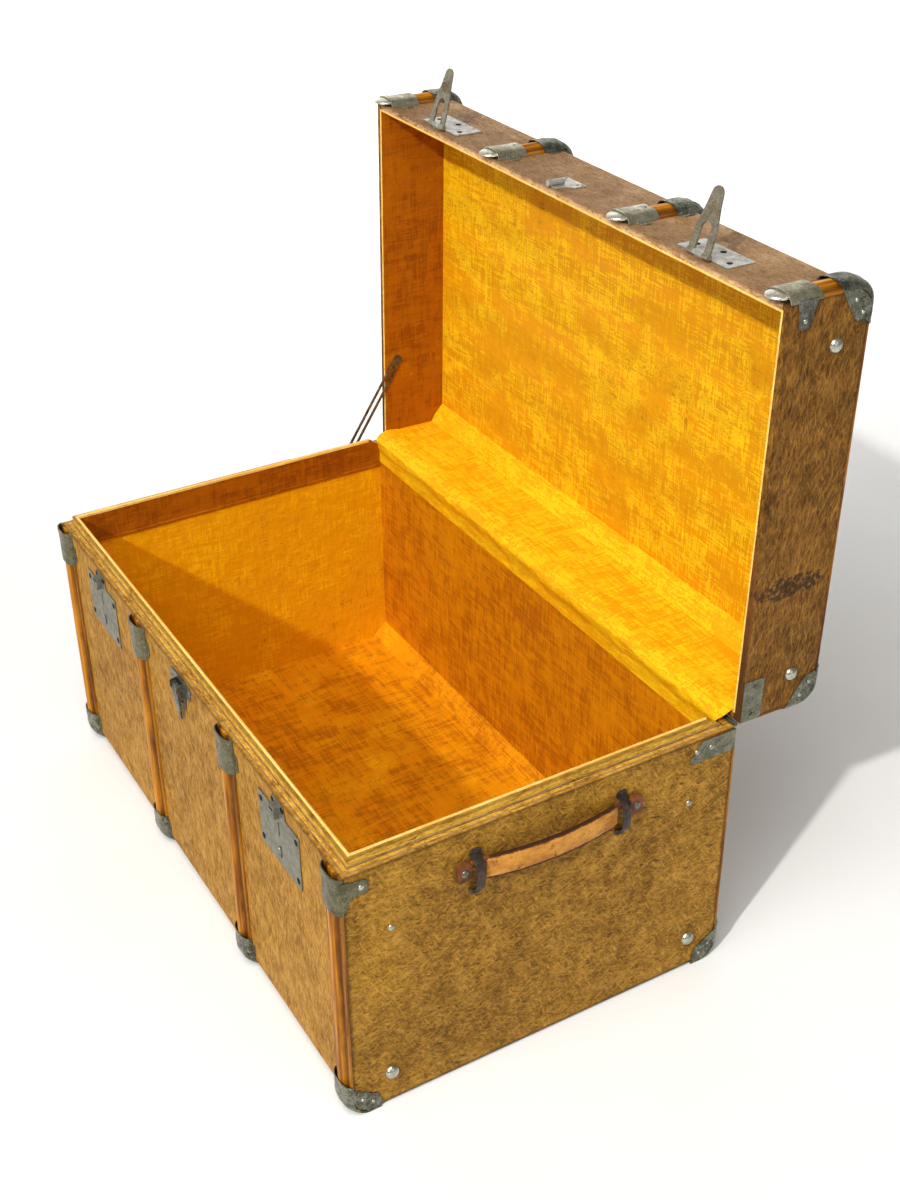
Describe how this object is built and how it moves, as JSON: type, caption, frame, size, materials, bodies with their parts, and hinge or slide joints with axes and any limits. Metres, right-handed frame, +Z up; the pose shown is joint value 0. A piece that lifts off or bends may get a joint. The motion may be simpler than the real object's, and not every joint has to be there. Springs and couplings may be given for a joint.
{
  "type": "steamer trunk",
  "caption": "Long rectangular travelling trunk with wooden battens, steel clamps, hasp locks, end handles and a deep hinged lid held open by a slotted stay",
  "frame": {"origin": "middle of the body's footprint, on the floor under the foot clamps", "axes": "X along the trunk, +X at the right end as seen from the front; -Y is the front with the locks; +Z up; the lid is hinged along the back, at +Y"},
  "size_m": [0.9374, 0.6789, 0.9855],
  "materials": {
    "end_fibre": "light board faced with brown vulcanised fibre, strongly fibrous, satin and worn",
    "face_fibre": "light board faced with tan fibre sheet, fine streaks and nicks",
    "lip_fibre": "thin board faced with brown fibre, cloth folded over its top edge",
    "batten_wood": "varnished hardwood batten, orange-brown, worn",
    "body_cloth": "glazed yellow woven lining cloth, stained",
    "lid_cloth": "glazed yellow woven lining cloth, blotchy",
    "clamp_steel": "pressed sheet steel, tarnished",
    "hinge_steel": "sheet steel, tarnished",
    "plate_steel": "flat sheet steel, dull grey",
    "hasp_steel": "thick sheet steel, worn bright",
    "catch_steel": "sheet steel, dark",
    "loop_steel": "blackened iron strap",
    "stay_steel": "thin slotted strip, tarnished",
    "handle_leather": "thick stitched tan leather, dark worn edges"
  },
  "bodies": {
    "body": {"left_board": "end_fibre", "right_board": "end_fibre", "front_board": "face_fibre", "back_board": "face_fibre", "floor_board": "face_fibre", "rim_lip": "lip_fibre", "body_lining": "body_cloth", "front_batten_1": "batten_wood", "back_batten_1": "batten_wood", "socket_clamp_1": "clamp_steel", "front_foot_clamp_1": "clamp_steel", "back_foot_clamp_1": "clamp_steel", "front_batten_2": "batten_wood", "back_batten_2": "batten_wood", "socket_clamp_2": "clamp_steel", "front_foot_clamp_2": "clamp_steel", "back_foot_clamp_2": "clamp_steel", "front_batten_3": "batten_wood", "back_batten_3": "batten_wood", "socket_clamp_3": "clamp_steel", "front_foot_clamp_3": "clamp_steel", "back_foot_clamp_3": "clamp_steel", "front_batten_4": "batten_wood", "back_batten_4": "batten_wood", "socket_clamp_4": "clamp_steel", "front_foot_clamp_4": "clamp_steel", "back_foot_clamp_4": "clamp_steel", "hinge_body_leaf": "hinge_steel", "hinge_pin": "hinge_steel", "lock_plate_left": "plate_steel", "lock_plate_right": "plate_steel", "catch_plate": "catch_steel", "handle_loop_left_front": "loop_steel", "handle_loop_left_back": "loop_steel", "handle_loop_right_front": "loop_steel", "handle_loop_right_back": "loop_steel"},
    "lid": {"lid_left_board": "end_fibre", "lid_right_board": "end_fibre", "lid_front_board": "face_fibre", "lid_back_board": "face_fibre", "lid_top_board": "face_fibre", "lid_lining": "lid_cloth", "hinge_lid_leaf": "hinge_steel", "hasp_plate_left": "plate_steel", "hasp_plate_right": "plate_steel", "lid_staple": "plate_steel", "lid_batten_1": "batten_wood", "lid_batten_2": "batten_wood", "lid_batten_3": "batten_wood", "lid_batten_4": "batten_wood", "tongue_clamp_1": "clamp_steel", "tongue_clamp_2": "clamp_steel", "tongue_clamp_3": "clamp_steel", "tongue_clamp_4": "clamp_steel"},
    "stay": {"lid_stay": "stay_steel"},
    "hasp_left": {"hasp_left": "hasp_steel"},
    "hasp_right": {"hasp_right": "hasp_steel"},
    "catch_lever": {"catch_lever": "catch_steel"},
    "handle_right": {"handle_strap_right": "handle_leather"},
    "handle_left": {"handle_strap_left": "handle_leather"}
  },
  "joints": [
    {"name": "lid_hinge", "type": "hinge", "parent": "body", "child": "lid", "pos_m": [0, 0.2685, 0.374], "axis": [1, 0, 0], "range_deg": [0, 91]},
    {"name": "stay_pivot", "type": "hinge", "parent": "lid", "child": "stay", "pos_m": [-0.4376, 0.29337, 0.50959], "axis": [1, 0, 0], "range_deg": [-45.5, 0]},
    {"name": "hasp_left_hinge", "type": "hinge", "parent": "lid", "child": "hasp_left", "pos_m": [-0.29, 0.28441, 0.9128], "axis": [1, 0, 0], "range_deg": [-73, 107]},
    {"name": "hasp_right_hinge", "type": "hinge", "parent": "lid", "child": "hasp_right", "pos_m": [0.29, 0.28441, 0.9128], "axis": [1, 0, 0], "range_deg": [-73, 107]},
    {"name": "catch_hinge", "type": "hinge", "parent": "body", "child": "catch_lever", "pos_m": [0, -0.2715, 0.357], "axis": [1, 0, 0], "range_deg": [-75, 0]},
    {"name": "handle_right_swing", "type": "hinge", "parent": "body", "child": "handle_right", "pos_m": [0.4562, 0, 0.329], "axis": [0, -1, 0], "range_deg": [0, 75]},
    {"name": "handle_left_swing", "type": "hinge", "parent": "body", "child": "handle_left", "pos_m": [-0.4562, 0, 0.329], "axis": [0, 1, 0], "range_deg": [0, 75]}
  ],
  "couplings": [
    {"joint": "stay_pivot", "follows": "lid_hinge", "ratio": -0.5}
  ]
}
